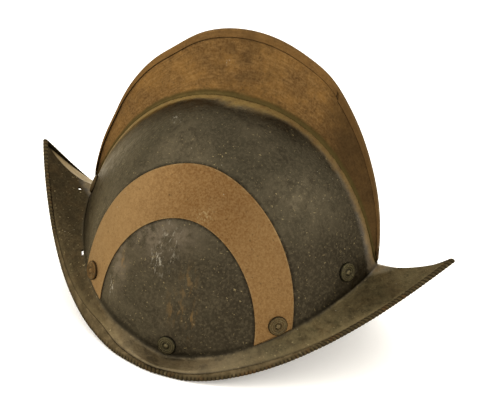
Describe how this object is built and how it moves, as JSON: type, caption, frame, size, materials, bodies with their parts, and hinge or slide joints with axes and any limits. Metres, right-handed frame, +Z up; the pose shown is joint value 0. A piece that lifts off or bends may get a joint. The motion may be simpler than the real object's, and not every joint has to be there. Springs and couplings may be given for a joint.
{
  "type": "morion helmet",
  "caption": "Comb morion helmet with a tall comb, a boat-shaped brim rising to points front and rear, embossed crescents on both sides and ringed lining rivets, in black-painted and rusted steel.",
  "frame": {"origin": "on the floor under the middle of the helmet's length and width", "axes": "+X to the front peak, +Y to the wearer's left, +Z up towards the comb"},
  "size_m": [0.3536, 0.2556, 0.236],
  "materials": {
    "black_painted_steel": "old black paint on hammered steel, rusted brown on the comb and crescents",
    "dark_iron": "dark oxidised iron, worn on the rings"
  },
  "bodies": {
    "root": {"half_shell_right": "black_painted_steel", "half_shell_left": "black_painted_steel", "rosette_rear_end_right": "dark_iron", "rosette_rear_right": "dark_iron", "rosette_side_right": "dark_iron", "rosette_front_right": "dark_iron", "rosette_front_end_right": "dark_iron", "rosette_rear_end_left": "dark_iron", "rosette_rear_left": "dark_iron", "rosette_side_left": "dark_iron", "rosette_front_left": "dark_iron", "rosette_front_end_left": "dark_iron"}
  },
  "joints": []
}
